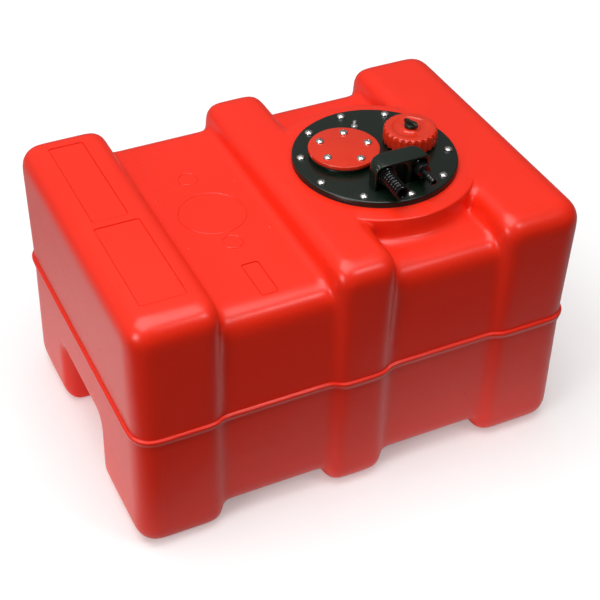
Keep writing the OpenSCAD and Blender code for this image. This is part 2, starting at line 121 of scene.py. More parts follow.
floor_mesh = bmesh.new()
bmesh.ops.create_grid(floor_mesh, x_segments=8, y_segments=8, size=6)
floor_data = bpy.data.meshes.new("floor")
floor_mesh.to_mesh(floor_data)
floor_data.materials.append(paper)
floor = bpy.data.objects.new("floor", floor_data)
scene.collection.objects.link(floor)

for name, watts, width, place, aim in (
    ("overhead_soft_box", 24, 1.5, (-0.25, -0.10, 1.75), (0, 0, 0.2)),
    ("left_window", 8.0, 0.6, (-1.45, -0.75, 0.85), (0, 0, 0.15)),
    ("front_lamp", 4.5, 0.32, (0.66, -1.28, 1.7), (0, 0, 0.2)),
):
    lamp_data = bpy.data.lights.new(name, "AREA")
    lamp_data.shape = "SQUARE"
    lamp_data.size = width
    lamp_data.energy = watts
    lamp = bpy.data.objects.new(name, lamp_data)
    lamp.location = place
    lamp.rotation_euler = (Vector(aim) - Vector(place)).to_track_quat("-Z", "Y").to_euler()
    scene.collection.objects.link(lamp)

world = bpy.data.worlds.new("plain_room")
scene.world = world
world.use_nodes = True
tree = world.node_tree
tree.nodes.clear()
sky = add_node(tree, "TexCoord").outputs["Generated"]
facing = add_node(tree, "VectorMath", {0: sky, 1: (-0.35, 0.35, 0.87)}, operation="DOT_PRODUCT")
level = add_node(tree, "MapRange", {
    "Value": facing.outputs["Value"], "From Min": -0.1, "From Max": 0.9, "To Min": 0.05, "To Max": 0.36,
})
room = add_node(tree, "Background", {"Color": (1, 1, 1, 1), "Strength": level.outputs[0]})
backdrop = add_node(tree, "Background", {"Color": (1, 1, 1, 1), "Strength": 1.0})
seen = add_node(tree, "LightPath").outputs["Is Camera Ray"]
choice = add_node(tree, "MixShader", {0: seen, 1: room.outputs[0], 2: backdrop.outputs[0]})
add_node(tree, "OutputWorld", {"Surface": choice.outputs[0]})


# Tank: one hollow moulding of red polyethylene that stands on three ribs, with two strap bays,
# a round pad for the access plate and a bead at mid height, where the two halves of the mould meet.
# All lengths are in millimetres until a piece is finished.
TANK_X, TANK_Y, TANK_Z = 250, 175, 300
END_RIB, MID_RIB, BAY_FLOOR, BAY_FOOT = 154, 34, 275, 17
CORE_X, EDGE, RIB_EDGE = 190, 24, 16
BAY_TOP_Y, BAY_SEAM_Y, BAY_FOOT_Y = 164, 169.3, 167
SEAM_Z = 153
PLATE = Vector((88, -12, 0))
PAD_R = 109


def move(bm, by):
    """Shifts the whole bmesh"""
    bmesh.ops.translate(bm, vec=by, verts=bm.verts)


def split(bm, point, normal, **settings):
    """Cuts the bmesh's faces along a plane"""
    everything = bm.verts[:] + bm.edges[:] + bm.faces[:]
    bmesh.ops.bisect_plane(bm, geom=everything, plane_co=point, plane_no=normal, **settings)


def bevel(bm, edges, offset, segments, **settings):
    """Rounds some edges"""
    bmesh.ops.bevel(
        bm, geom=edges, offset=offset, segments=segments, profile=0.5, affect="EDGES", material=-1, **settings,
    )


def rounded_block(low, high, long_r=0, end_r=(0, 0)):
    """Box whose edges along X have the radius long_r and whose two end outlines have the radii end_r"""
    bm = bmesh.new()
    bmesh.ops.create_cube(bm, size=1)
    bmesh.ops.scale(bm, vec=[b - a for a, b in zip(low, high)], verts=bm.verts)
    move(bm, [(a + b) / 2 for a, b in zip(low, high)])
    if long_r:
        along = [e for e in bm.edges if abs(e.verts[0].co.x - e.verts[1].co.x) > 1]
        bevel(bm, along, long_r, 8)
    for x, r in zip((low[0], high[0]), end_r):
        if r:
            rim = [e for e in bm.edges if all(abs(v.co.x - x) < 0.01 for v in e.verts)]
            bevel(bm, rim, r, 6)
    return bm


def join(*parts):
    """One bmesh from several, which are used up"""
    whole = bmesh.new()
    for part in parts:
        carrier = bpy.data.meshes.new("carrier")
        part.to_mesh(carrier)
        part.free()
        whole.from_mesh(carrier)
        bpy.data.meshes.remove(carrier)
    return whole


def lathe(profile, steps, closed=False):
    """Solid turned about Z from (radius, height) points; a closed profile makes a ring"""
    bm = bmesh.new()
    points = [bm.verts.new((r, 0, z)) for r, z in profile]
    lines = [bm.edges.new(pair) for pair in zip(points, points[1:])]
    if closed:
        lines.append(bm.edges.new((points[-1], points[0])))
    bmesh.ops.spin(bm, geom=points + lines, axis=(0, 0, 1), angle=math.tau, steps=steps, use_merge=True)
    bmesh.ops.remove_doubles(bm, verts=bm.verts, dist=0.0005)
    bmesh.ops.recalc_face_normals(bm, faces=bm.faces)
    return bm


def finish_piece(name, bm, material, body, sharp=35, replaces=()):
    """Object from a bmesh in millimetres, in the row's frame, that rides on a body"""
    bmesh.ops.scale(bm, vec=(0.001, 0.001, 0.001), verts=bm.verts)
    data = bpy.data.meshes.new(name)
    bm.to_mesh(data)
    bm.free()
    for face in data.polygons:
        face.use_smooth = True
    data.set_sharp_from_angle(angle=math.radians(sharp))
    data.materials.append(material)
    piece = bpy.data.objects.new(name, data)
    scene.collection.objects.link(piece)
    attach(piece, body)
    if replaces:
        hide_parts(*replaces)
    return piece


def apply_modifier(bm, kind, **settings):
    """The bmesh after one modifier"""
    data = bpy.data.meshes.new("blank")
    bm.to_mesh(data)
    bm.free()
    blank = bpy.data.objects.new("blank", data)
    scene.collection.objects.link(blank)
    modifier = blank.modifiers.new("step", kind)
    for key, value in settings.items():
        setattr(modifier, key, value)
    bpy.context.view_layer.update()
    shaped = bpy.data.meshes.new_from_object(blank.evaluated_get(bpy.context.evaluated_depsgraph_get()))
    result = bmesh.new()
    result.from_mesh(shaped)
    bpy.data.objects.remove(blank)
    for mesh in (data, shaped):
        bpy.data.meshes.remove(mesh)
    return result


def cut(bm, cutter, operation="DIFFERENCE", **solver):
    """The bmesh less the cutter, or with it added where the operation is UNION"""
    data = bpy.data.meshes.new("cutter")
    cutter.to_mesh(data)
    cutter.free()
    tool = bpy.data.objects.new("cutter", data)
    scene.collection.objects.link(tool)
    result = apply_modifier(bm, "BOOLEAN", object=tool, operation=operation, **solver)
    bpy.data.objects.remove(tool)
    bpy.data.meshes.remove(data)
    return result


core = rounded_block((-CORE_X, -BAY_SEAM_Y, BAY_FOOT), (CORE_X, BAY_SEAM_Y, BAY_FLOOR), EDGE)
split(core, (0, 0, SEAM_Z), (0, 0, 1))
for v in core.verts:
    if v.co.z > SEAM_Z:
        v.co.y *= 1 - (1 - BAY_TOP_Y / BAY_SEAM_Y) * (v.co.z - SEAM_Z) / (BAY_FLOOR - SEAM_Z)
    else:
        v.co.y *= 1 - (1 - BAY_FOOT_Y / BAY_SEAM_Y) * (SEAM_Z - v.co.z) / (SEAM_Z - BAY_FOOT)
pad = lathe([(0, 240), (PAD_R, 240), (PAD_R, 296), (PAD_R - 1.2, 298.8), (PAD_R - 4, 300), (0, 300)], 160)
move(pad, PLATE)
tank = join(
    core,
    pad,
    rounded_block((-TANK_X, -TANK_Y, 0), (-END_RIB, TANK_Y, TANK_Z), EDGE, (EDGE - 1, RIB_EDGE)),
    rounded_block((-MID_RIB, -TANK_Y, 0), (MID_RIB, TANK_Y, TANK_Z), EDGE, (RIB_EDGE, RIB_EDGE)),
    rounded_block((END_RIB, -TANK_Y, 0), (TANK_X, TANK_Y, TANK_Z), EDGE, (RIB_EDGE, EDGE - 1)),
)

# Lifting recess under each end, with a flared mouth
GRIP_Y, GRIP_HALF, GRIP_H, GRIP_L, FLARE = 9, 60.5, 88, 60, 12
for side in (-1, 1):
    recess = rounded_block((-GRIP_L, -GRIP_HALF, -GRIP_H), (FLARE, GRIP_HALF, GRIP_H), 13, (12, 0))
    for depth in range(2, FLARE + 2, 2):
        split(recess, (-depth, 0, 0), (1, 0, 0))
    for v in recess.verts:
        depth = min(max(-v.co.x, 0), FLARE)
        spread = FLARE - math.sqrt(FLARE ** 2 - (FLARE - depth) ** 2)
        v.co.y *= 1 + spread / GRIP_HALF
        v.co.z *= 1 + spread / GRIP_H
    bmesh.ops.scale(recess, vec=(side, 1, 1), verts=recess.verts)
    move(recess, (side * TANK_X, GRIP_Y, 0))
    bmesh.ops.recalc_face_normals(recess, faces=recess.faces)
    tank = cut(tank, recess, use_self=True)

# The moulding's soft inner corners: fine even faces, then smoothed, and most of all at the pad's foot
FACE_SIZE, SMOOTHINGS, FOOT_SMOOTHINGS = 2.8, 13, 24
FOOT_LOW, FOOT_HIGH, BAY_MIDDLE, BAY_HALF = 262, 293, 94, 50
tank = apply_modifier(tank, "REMESH", mode="VOXEL", voxel_size=FACE_SIZE, adaptivity=0)
foot = [
    v for v in tank.verts
    if FOOT_LOW < v.co.z < FOOT_HIGH and -13 < (v.co - PLATE).xy.length - PAD_R < 30
    and abs(v.co.x - BAY_MIDDLE) < BAY_HALF
]
every_way = {"use_axis_x": True, "use_axis_y": True, "use_axis_z": True}
for group, passes in ((tank.verts, SMOOTHINGS), (foot, FOOT_SMOOTHINGS)):
    for _ in range(passes):
        bmesh.ops.smooth_vert(tank, verts=group, factor=0.5, **every_way)

# The pad's rim is crisp, where the plate's rubber seals: the smoothing took it, and this puts it back
RIM_LEFT, RIM_RIGHT = 22, 167
rim = lathe([
    (86, 286), (108.9, 286), (PAD_R, 297.6), (108.7, 298.8), (108, 299.6), (106.8, 300.02), (86, 300.02),
], 240, closed=True)
move(rim, PLATE)
for x, side in ((RIM_LEFT, -1), (RIM_RIGHT, 1)):
    split(rim, (x, 0, 0), (side, 0, 0), clear_outer=True)
    bmesh.ops.holes_fill(rim, edges=[e for e in rim.edges if e.is_boundary])
bmesh.ops.recalc_face_normals(rim, faces=rim.faces)
tank = cut(tank, rim, operation="UNION", solver="MANIFOLD")

# The seam lies 3 mm lower on the middle rib; the walls draw in towards it, and its bead stands proud.
# The upper half of the mould left the bead's upper half a millimetre further out than its lower half.
DIP, DIP_REACH, DIP_X, DIP_SOFTNESS = 3, 60, 32, 3
PINCH_X, PINCH_Y, PINCH_REACH = 0.0056, 0.0080, 130


def shift_seam(bm, sign):
    """Raises or lowers the middle rib's wall near the seam, most of all at the seam itself"""
    for v in bm.verts:
        near_seam = max(0, 1 - abs(v.co.z - SEAM_Z) / DIP_REACH)
        v.co.z += sign * DIP * near_seam / (1 + math.exp((abs(v.co.x) - DIP_X) / DIP_SOFTNESS))


shift_seam(tank, 1)
BEAD = ((-4.5, 0), (-3.8, 1.8), (-0.6, 2.0), (0.2, 2.7), (1.2, 3.0), (3.2, 3.0), (4.0, 2.5), (4.8, 0))
for z, _ in BEAD:
    split(tank, (0, 0, SEAM_Z + z), (0, 0, 1))
tank.normal_update()
for v in tank.verts:
    height = v.co.z - SEAM_Z
    pinch = max(0, 1 - abs(height) / PINCH_REACH)
    out = Vector((v.normal.x, v.normal.y, 0))
    v.co.x *= 1 - PINCH_X * pinch
    v.co.y *= 1 - PINCH_Y * pinch
    for (z0, rise0), (z1, rise1) in zip(BEAD, BEAD[1:]):
        if z0 <= height <= z1 and out.length > 0.3:
            v.co += out.normalized() * (rise0 + (rise1 - rise0) * (height - z0) / (z1 - z0))
            break
shift_seam(tank, -1)

# The cavity leaves a wall of about 5 mm, thicker round the screw inserts, and opens under the access plate
WALL, ACCESS_R, SCREW_RING, INSERT_ROOM, HOLLOW_FACE = 5, 66, 79, 10, 5
SEAT_BELOW, PAD_FOOT = 280, 245
IN_X, IN_Y, IN_Z, IN_EDGE = TANK_X - WALL, TANK_Y - WALL, TANK_Z - WALL, EDGE - WALL
IN_RIB, IN_END, IN_RIB_EDGE = MID_RIB - WALL, END_RIB + WALL, RIB_EDGE - WALL
IN_CORE, IN_BAY_Y = 185, 158
hollow = join(
    rounded_block((-IN_CORE, -IN_BAY_Y, BAY_FOOT + WALL), (IN_CORE, IN_BAY_Y, BAY_FLOOR - WALL), IN_EDGE),
    rounded_block((-IN_X, -IN_Y, WALL), (-IN_END, IN_Y, IN_Z), IN_EDGE, (IN_EDGE - 1, IN_RIB_EDGE)),
    rounded_block((-IN_RIB, -IN_Y, WALL), (IN_RIB, IN_Y, IN_Z), IN_EDGE, (IN_RIB_EDGE, IN_RIB_EDGE)),
    rounded_block((IN_END, -IN_Y, WALL), (IN_X, IN_Y, IN_Z), IN_EDGE, (IN_RIB_EDGE, IN_EDGE - 1)),
)
for side in (-1, 1):
    grip = sorted((side * (TANK_X - GRIP_L - WALL), side * (TANK_X + WALL)))
    around = GRIP_HALF + WALL
    block = rounded_block((grip[0], GRIP_Y - around, 0), (grip[1], GRIP_Y + around, GRIP_H + WALL))
    hollow = cut(hollow, block, use_self=True)
inner_r, outer_r = SCREW_RING - INSERT_ROOM, SCREW_RING + INSERT_ROOM
under_pad = lathe([
    (0, PAD_FOOT), (PAD_R - WALL, PAD_FOOT), (PAD_R - WALL, SEAT_BELOW), (inner_r, SEAT_BELOW),
    (inner_r, IN_Z), (0, IN_Z),
], 96)
inserts = lathe([
    (inner_r, SEAT_BELOW), (outer_r, SEAT_BELOW), (outer_r, TANK_Z), (inner_r, TANK_Z),
], 96, closed=True)
mouth_low, mouth_high = TANK_Z - 2 * WALL, TANK_Z + 5
access = lathe([(0, mouth_low), (ACCESS_R, mouth_low), (ACCESS_R, mouth_high), (0, mouth_high)], 128)
for tool in (under_pad, inserts, access):
    move(tool, PLATE)
hollow = cut(hollow, inserts, use_self=True)
hollow = apply_modifier(join(hollow, under_pad), "REMESH", mode="VOXEL", voxel_size=HOLLOW_FACE, adaptivity=0)
for cutter in (hollow, access):
    tank = cut(tank, cutter, solver="MANIFOLD")

# Shallow bare panels in the left rib and the left bay, each with a fine groove round it
for low, high, top in (
    ((-222, 2), (-184, 144), TANK_Z),
    ((-225, -138), (-177, -9), TANK_Z),
    ((-102, -142), (-84, -91), BAY_FLOOR),
):
    plates = []
    for grow, depth in ((0, 0.6), (0.5, 1.5), (-0.7, 8)):
        near = (low[0] - grow, low[1] - grow, top - depth)
        far = (high[0] + grow, high[1] + grow, top + 6)
        plate = rounded_block(near, far)
        corners = [e for e in plate.edges if abs(e.verts[0].co.z - e.verts[1].co.z) > 1]
        bevel(plate, corners, 3 + grow, 5)
        plates.append(plate)
    panel, outer, inner = plates
    for cutter in (panel, cut(outer, inner)):
        tank = cut(tank, cutter, solver="MANIFOLD")

# Polyethylene, rotationally moulded from coloured powder: glossy where it lay against the mould,
# with a fine orange peel, a slow waviness over the large faces and a slightly uneven colour.
polyethylene, tree = new_material("moulded_red_polyethylene")
place = add_node(tree, "TexCoord").outputs["Object"]
blotches = add_node(tree, "TexNoise", {"Vector": place, "Scale": 9.0, "Detail": 3.0, "Roughness": 0.5})
colour = blend_colours(tree, blotches.outputs["Fac"], "#EC270F", "#F42D15")
waviness = add_node(tree, "TexNoise", {"Vector": place, "Scale": 22.0, "Detail": 1.0})
peel = add_node(tree, "TexNoise", {"Vector": place, "Scale": 420.0, "Detail": 2.0, "Roughness": 0.6})
wavy = add_node(tree, "Bump", {"Height": waviness.outputs["Fac"], "Strength": 0.25, "Distance": 0.0012})
peeled = add_node(tree, "Bump", {
    "Height": peel.outputs["Fac"], "Strength": 0.18, "Distance": 0.0002, "Normal": wavy.outputs[0],
})
gloss = add_node(tree, "MapRange", {"Value": peel.outputs["Fac"], "To Min": 0.24, "To Max": 0.36})
shader = add_node(tree, "BsdfPrincipled", {
    "Base Color": colour, "Roughness": gloss.outputs[0], "IOR": 1.5, "Normal": peeled.outputs[0],
})
add_node(tree, "OutputMaterial", {"Surface": shader.outputs[0]})

# The mesh is parted at the bead's middle, so that each half stays light
for name, keep_up in (("tank_upper", True), ("tank_lower", False)):
    half = tank.copy()
    split(half, (0, 0, SEAM_Z), (0, 0, 1), clear_inner=keep_up, clear_outer=not keep_up)
    open_edges = [e for e in half.edges if e.is_boundary]
    bmesh.ops.triangle_fill(half, use_beauty=True, use_dissolve=False, edges=open_edges)
    bmesh.ops.recalc_face_normals(half, faces=half.faces)
    finish_piece(name, half, polyethylene, "tank", sharp=40, replaces=["tank_shell"])
tank.free()

# Moulding marks on the floor of the left bay: a large ring, four dots and two small rings
marks = []
for x, y, r in ((-94, 0, 35.5), (-94, 67, 10.5), (-94, -53, 10.5)):
    section = [(r + 0.9, 274.6), (r + 0.5, 275.5), (r, 275.7), (r - 0.5, 275.5), (r - 0.9, 274.6)]
    ring = lathe(section, 96, closed=True)
    move(ring, (x, y, 0))
    marks.append(ring)
for x in (-139, -49):
    for y in (-45, 45):
        dot = lathe([(0, 275.8), (0.8, 275.6), (1.5, 275.1), (1.6, 274.6), (0, 274.6)], 16)
        move(dot, (x, y, 0))
        marks.append(dot)
finish_piece("moulding_marks", join(*marks), polyethylene, "tank")


# Access plate: a 5 mm disc of black glass-filled nylon, moulded in one with its sender seat,
# its filler neck and its outlet housing. It is screwed down on the pad over a rubber gasket.
def soften(bm, offset, segments=3, angle=30):
    """Rounds every edge that is sharper than the angle"""
    sharp = [e for e in bm.edges if len(e.link_faces) == 2 and e.calc_face_angle() > math.radians(angle)]
    bevel(bm, sharp, offset, segments, clamp_overlap=True)
    return bm


GASKET_TOP, DECK, SEAT_TOP, COVER_TOP, NECK_TOP = 302, 307, 310, 316.5, 320
SENDER_RING = 27
PORT = Vector((57, 0, 0))
FILL = Vector((133, -6, 0))

# Moulded black nylon: near black with a cast of green, satin, with flow marks and a fine grain of glass
nylon, tree = new_material("moulded_black_glass_filled_nylon")
place = add_node(tree, "TexCoord").outputs["Object"]
flow = add_node(tree, "TexNoise", {"Vector": place, "Scale": 30.0, "Detail": 4.0, "Roughness": 0.6})
colour = blend_colours(tree, flow.outputs["Fac"], "#07110A", "#0B1A0F")
grain = add_node(tree, "TexNoise", {"Vector": place, "Scale": 900.0, "Detail": 2.0})
grained = add_node(tree, "Bump", {"Height": grain.outputs["Fac"], "Strength": 0.2, "Distance": 0.0001})
gloss = add_node(tree, "MapRange", {"Value": flow.outputs["Fac"], "To Min": 0.22, "To Max": 0.34})
shader = add_node(tree, "BsdfPrincipled", {
    "Base Color": colour, "Roughness": gloss.outputs[0], "IOR": 1.53, "Normal": grained.outputs[0],
})
add_node(tree, "OutputMaterial", {"Surface": shader.outputs[0]})

disc = lathe([
    (0, DECK), (86.2, DECK), (87.1, 306.8), (87.7, 306.3), (88, 305.6), (88, 302.3), (87.7, GASKET_TOP),
    (65.4, GASKET_TOP), (65.4, 294.3), (65.1, 294), (62.7, 294), (62.4, 294.3), (62.4, GASKET_TOP),
    (0, GASKET_TOP),
], 160)
move(disc, PLATE)
for centre, bore in ((PORT, 20), (FILL, 16.5)):
    hole = lathe([(0, 290), (bore, 290), (bore, 320), (0, 320)], 64)
    move(hole, centre)
    disc = cut(disc, hole)
finish_piece("plate_disc", disc, nylon, "tank", replaces=["flange_plate"])

seat = soften(lathe([(20, 306.5), (36, 306.5), (36, SEAT_TOP), (20, SEAT_TOP)], 96, closed=True), 0.5)
move(seat, PORT)
finish_piece("sender_seat", seat, nylon, "tank")

neck = soften(lathe([(16.5, 306.5), (22, 306.5), (22, NECK_TOP), (16.5, NECK_TOP)], 96, closed=True), 0.6)
thread = bmesh.new()
flank = [thread.verts.new(p) for p in ((21.6, 0, -1.1), (23.6, 0, -0.6), (23.6, 0, 0.6), (21.6, 0, 1.1))]
around = [thread.edges.new(pair) for pair in zip(flank, flank[1:] + flank[:1])]
around.append(thread.faces.new(flank))
THREAD_TURNS, THREAD_RISE, THREAD_STEPS = 1.25, 6.25, 60
bmesh.ops.spin(
    thread, geom=flank + around, axis=(0, 0, 1), angle=math.tau * THREAD_TURNS,
    dvec=(0, 0, THREAD_RISE / THREAD_STEPS), steps=THREAD_STEPS,
)
bmesh.ops.holes_fill(thread, edges=[e for e in thread.edges if e.is_boundary])
bmesh.ops.recalc_face_normals(thread, faces=thread.faces)
move(thread, (0, 0, NECK_TOP - 8.25))
neck = join(neck, thread)
move(neck, FILL)
finish_piece("filler_neck", neck, nylon, "tank")

# Outlet housing: a hood with a round back and round shoulders, open in front where the two hose fittings
# sit in pockets on either side of a web
housing = rounded_block((-33, -61, 306.5), (29.5, -35, 336))
for side, radius in ((-1, 18), (1, 13)):
    back = [
        e for e in housing.edges
        if all(v.co.y > -36 and v.co.x * side > 25 for v in e.verts)
        and abs(e.verts[0].co.z - e.verts[1].co.z) > 1
    ]
    bevel(housing, back, radius, 10)
shoulder = [
    e for e in housing.edges
    if all(v.co.z > 335 for v in e.verts) and any(v.co.y > -60 for v in e.verts)
]
bevel(housing, shoulder, 6, 6)
for x in (-30, -27, -24, -20):
    split(housing, (x, 0, 0), (1, 0, 0))
for v in housing.verts:
    if v.co.z > 329.9 and v.co.x < -17:
        v.co.z -= 4 * ((v.co.x + 17) / 16) ** 2
mouth = [
    e for e in housing.edges
    if all(v.co.y < -60.9 for v in e.verts) and any(v.co.z > DECK for v in e.verts)
]
bevel(housing, mouth, 1.2, 3)
for x0, x1, arch in ((-30.5, 4.5, 8.5), (9.5, 27, 5)):
    pocket = rounded_block((x0, -70, DECK), (x1, -51, 333.5))
    upper = [
        e for e in pocket.edges
        if all(v.co.z > 333 for v in e.verts) and abs(e.verts[0].co.y - e.verts[1].co.y) > 1
    ]
    bevel(pocket, upper, arch, 6)
    inner = [e for e in pocket.edges if all(v.co.y > -52 for v in e.verts)]
    bevel(pocket, inner, 1.2, 2)
    housing = cut(housing, pocket)
move(housing, PLATE)
finish_piece("outlet_housing", housing, nylon, "tank")


# Gaskets and seals: nitrile rubber, cut from sheet or moulded, clamped between the parts they seal
def dress(name, material):
    """Gives a CAD solid that stays visible its material"""
    nodes[name].data.materials.clear()
    nodes[name].data.materials.append(material)


# Nitrile rubber: dull black with a faint grey bloom
nitrile, tree = new_material("matt_nitrile_rubber")
place = add_node(tree, "TexCoord").outputs["Object"]
bloom = add_node(tree, "TexNoise", {"Vector": place, "Scale": 60.0, "Detail": 5.0})
colour = blend_colours(tree, bloom.outputs["Fac"], "#060606", "#101010")
shader = add_node(tree, "BsdfPrincipled", {"Base Color": colour, "Roughness": 0.75, "IOR": 1.52})
add_node(tree, "OutputMaterial", {"Surface": shader.outputs[0]})
for name in (
    "flange_gasket", "sender_gasket", "cap_seal", "vent_o_ring", "vent_spigot_o_ring", "fuel_tail_o_ring",
):
    dress(name, nitrile)


# Screws: M5 pan heads with a cross recess, bright zinc on steel. Ten hold the plate and five the cover,
# each turned as its driver left it.

# Zinc on steel: bright grey metal, a little hazy, with sharp glints on the heads' rims
zinc, tree = new_material("bright_zinc_plated_steel")
place = add_node(tree, "TexCoord").outputs["Object"]
haze = add_node(tree, "TexNoise", {"Vector": place, "Scale": 350.0, "Detail": 4.0})
colour = blend_colours(tree, haze.outputs["Fac"], "#C9CBC8", "#ECEDEA")
gloss = add_node(tree, "MapRange", {"Value": haze.outputs["Fac"], "To Min": 0.22, "To Max": 0.38})
shader = add_node(tree, "BsdfPrincipled", {
    "Base Color": colour, "Metallic": 1.0, "Roughness": gloss.outputs[0],
})
add_node(tree, "OutputMaterial", {"Surface": shader.outputs[0]})

screw = lathe([
    (0, 2.8), (1.4, 2.72), (2.6, 2.45), (3.6, 1.95), (4.25, 1.3), (4.55, 0.65), (4.6, 0.25), (4.45, 0.02),
    (2.45, 0.02), (2.45, -9), (2.0, -9.5), (0, -9.5),
], 40)
for turn in (0, 90):
    slot = rounded_block((-3.0, -0.6, 0.9), (3.0, 0.6, 4))
    for v in slot.verts:
        if v.co.z < 2:
            v.co.x *= 0.55
            v.co.y *= 0.8
    bmesh.ops.rotate(slot, matrix=Matrix.Rotation(math.radians(turn), 3, "Z"), verts=slot.verts)
    screw = cut(screw, slot)

hand = random.Random(5)
for name, centre, radius, angles, height, node in (
    ("flange_screw_heads", PLATE, SCREW_RING, [90 + 36 * i for i in range(10)], DECK, "flange_screws"),
    ("sender_screw_heads", PORT, SENDER_RING, [134, 64, -6, -76, -156], COVER_TOP, "sender_screws"),
):
    heads = []
    for angle in angles:
        head = screw.copy()
        turned = Matrix.Rotation(hand.uniform(0, math.pi / 2), 3, "Z")
        bmesh.ops.rotate(head, matrix=turned, verts=head.verts)
        at = centre + radius * Vector((math.cos(math.radians(angle)), math.sin(math.radians(angle)), 0))
        move(head, (at.x, at.y, height))
        heads.append(head)
    finish_piece(name, join(*heads), zinc, "tank", replaces=[node])
screw.free()


# Sender cover: a red disc of moulded nylon, 4.5 mm thick, that blanks the gauge port. Its plug centres
# the rubber gasket on the seat, and five screws clamp it down.

# Moulded red nylon: deeper red than the tank and glossier, with a fine grain
red_nylon, tree = new_material("moulded_red_nylon")
place = add_node(tree, "TexCoord").outputs["Object"]
flow = add_node(tree, "TexNoise", {"Vector": place, "Scale": 45.0, "Detail": 3.0})
colour = blend_colours(tree, flow.outputs["Fac"], "#CC2911", "#D8341A")
grain = add_node(tree, "TexNoise", {"Vector": place, "Scale": 800.0, "Detail": 2.0})
grained = add_node(tree, "Bump", {"Height": grain.outputs["Fac"], "Strength": 0.15, "Distance": 0.0001})
gloss = add_node(tree, "MapRange", {"Value": flow.outputs["Fac"], "To Min": 0.14, "To Max": 0.24})
shader = add_node(tree, "BsdfPrincipled", {
    "Base Color": colour, "Roughness": gloss.outputs[0], "IOR": 1.53, "Normal": grained.outputs[0],
})
add_node(tree, "OutputMaterial", {"Surface": shader.outputs[0]})

cover = lathe([(0, COVER_TOP), (38, COVER_TOP), (38, 312), (19, 312), (19, SEAT_TOP), (0, SEAT_TOP)], 128)
cover = soften(cover, 0.9)
move(cover, PORT)
finish_piece("blanking_cover", cover, red_nylon, "tank", replaces=["sender_cover"])


# Filler cap: a screw cap of the cover's red nylon, 58 mm across, with 24 flutes for the fingers and
# a dished ring round the hole for the vent screw
FLUTES, FLUTE_DEPTH, FLUTE_SHARE, FLUTE_TOP, FLUTE_FADE = 24, 1.7, 0.72, 325.3, 1.2
cap = lathe([
    (4.2, 325.5), (9.2, 325.5), (9.9, 325.2), (10.6, 324.5), (11.6, 324.2), (17.5, 324.2), (18.8, 324.5),
    (20.0, 325.2), (20.8, 325.5), (25.8, 325.5), (27.2, 325.1), (28.3, 324.2), (28.9, 322.9), (29, 321.5),
    (29, 318), (29, 314), (29, 310), (28.6, 309.1), (28.2, 309), (24.4, 309), (24.05, 309.4), (24.05, 321),
    (23.6, 321.5), (8, 321.5), (8, 314.5), (4.2, 314.5),
], FLUTES * 10, closed=True)
for v in cap.verts:
    r = v.co.xy.length
    if r > 26 and v.co.z < FLUTE_TOP:
        angle = math.atan2(v.co.y, v.co.x) * FLUTES / math.tau
        wave = abs(angle - round(angle)) * 2
        scoop = max(0, 1 - (wave / FLUTE_SHARE) ** 2)
        depth = FLUTE_DEPTH * scoop * min(1, (FLUTE_TOP - v.co.z) / FLUTE_FADE)
        v.co.x *= 1 - depth / r
        v.co.y *= 1 - depth / r
move(cap, FILL)
finish_piece("fluted_cap", cap, red_nylon, "cap", sharp=50, replaces=["filler_cap"])


# Vent screw: a black screw with a winged head in the middle of the cap, moulded in the plate's nylon.
# It lets air in when it is backed off.
KNOB_Z, WING_L, WING_H, WING_TURN = 327.1, 9.5, 6, -75
stem = lathe([
    (0, KNOB_Z + 2.5), (5.6, KNOB_Z + 2.5), (6.6, KNOB_Z + 2.1), (7, KNOB_Z + 1.2), (7, KNOB_Z + 0.3),
    (6.7, KNOB_Z), (3.1, KNOB_Z), (3.1, 311), (2.6, 310.5), (0, 310.5),
], 48)
wing = rounded_block((-WING_L, -2.5, KNOB_Z + 0.5), (WING_L, 2.5, KNOB_Z + WING_H))
lengthwise = [e for e in wing.edges if abs(e.verts[0].co.x - e.verts[1].co.x) > 1]
bmesh.ops.subdivide_edges(wing, edges=lengthwise, cuts=3)
for v in wing.verts:
    v.co.y *= 1 - 0.35 * abs(v.co.x) / WING_L
    if v.co.z > KNOB_Z + 3:
        v.co.y *= 0.8
        v.co.z -= 1.2 * (v.co.x / WING_L) ** 2
wing = soften(wing, 0.9, 3, 20)
bmesh.ops.rotate(wing, matrix=Matrix.Rotation(math.radians(WING_TURN), 3, "Z"), verts=wing.verts)
knob = join(stem, wing)
move(knob, FILL)
finish_piece("winged_vent_screw", knob, nylon, "vent", replaces=["vent_screw"])


# Hose fittings: two black acetal fittings screwed into the backs of the pockets. The vent spigot is ribbed
# for a 16 mm hose, and the fuel tail has a hexagon base and barbs for an 8 mm hose.

# Turned black acetal: black and glossy, so that each rib and barb carries a thin light
acetal, tree = new_material("turned_black_acetal")
place = add_node(tree, "TexCoord").outputs["Object"]
swirl = add_node(tree, "TexNoise", {"Vector": place, "Scale": 260.0, "Detail": 3.0})
colour = blend_colours(tree, swirl.outputs["Fac"], "#090909", "#131313")
gloss = add_node(tree, "MapRange", {"Value": swirl.outputs["Fac"], "To Min": 0.07, "To Max": 0.14})
shader = add_node(tree, "BsdfPrincipled", {"Base Color": colour, "Roughness": gloss.outputs[0], "IOR": 1.48})
add_node(tree, "OutputMaterial", {"Surface": shader.outputs[0]})

